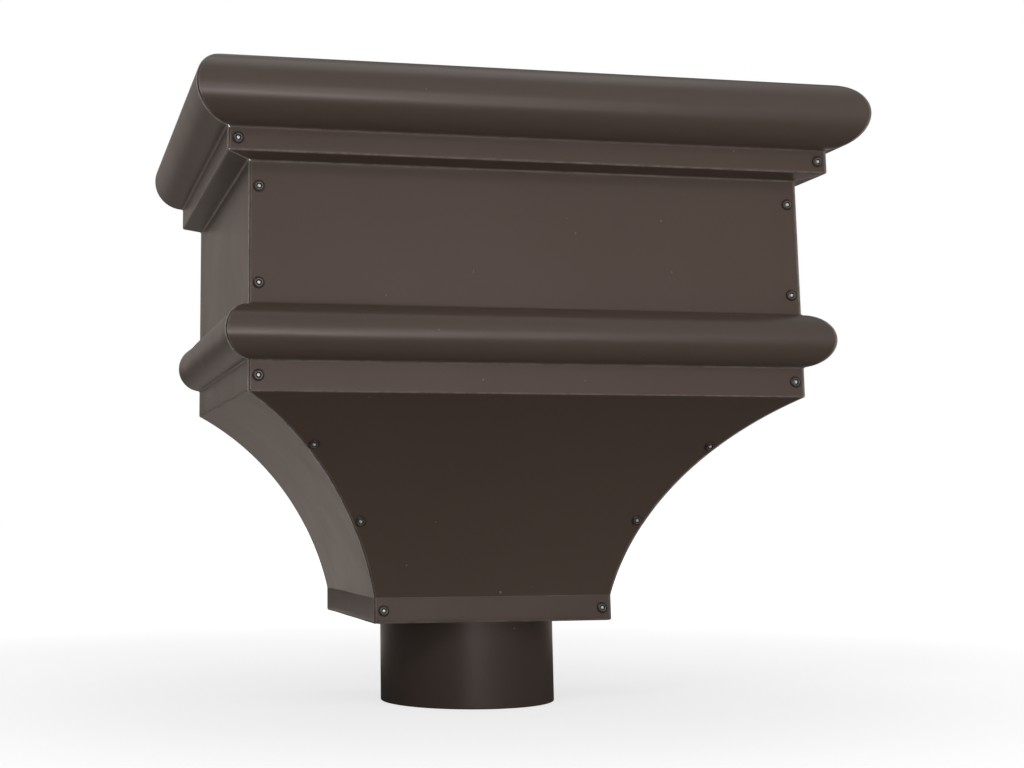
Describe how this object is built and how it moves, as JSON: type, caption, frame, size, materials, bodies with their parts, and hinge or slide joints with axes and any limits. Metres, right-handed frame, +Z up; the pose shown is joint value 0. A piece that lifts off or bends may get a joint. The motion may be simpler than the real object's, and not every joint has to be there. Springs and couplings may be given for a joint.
{
  "type": "leader head",
  "caption": "Open-topped rainwater leader head with a beaded crown and belt, a coved lower body and a round outlet, folded from painted sheet and riveted at the corner seams.",
  "frame": {"origin": "on the outlet's axis, at the outlet's lower end", "axes": "+Z up, -Y out of the moulded front, +Y towards the wall, +X to the right as seen from the front"},
  "size_m": [0.3594, 0.2441, 0.335],
  "materials": {
    "bronze_paint": "satin dark bronze coil coating on aluminium sheet",
    "rivet_paint": "semi-gloss dark bronze paint on aluminium",
    "mandrel_steel": "bright broken steel"
  },
  "bodies": {
    "root": {"front_panel": "bronze_paint", "left_side": "bronze_paint", "right_side": "bronze_paint", "back_panel": "bronze_paint", "bottom_plate": "bronze_paint", "outlet_tube": "bronze_paint", "front_rivets": "rivet_paint", "front_mandrels": "mandrel_steel"}
  },
  "joints": []
}
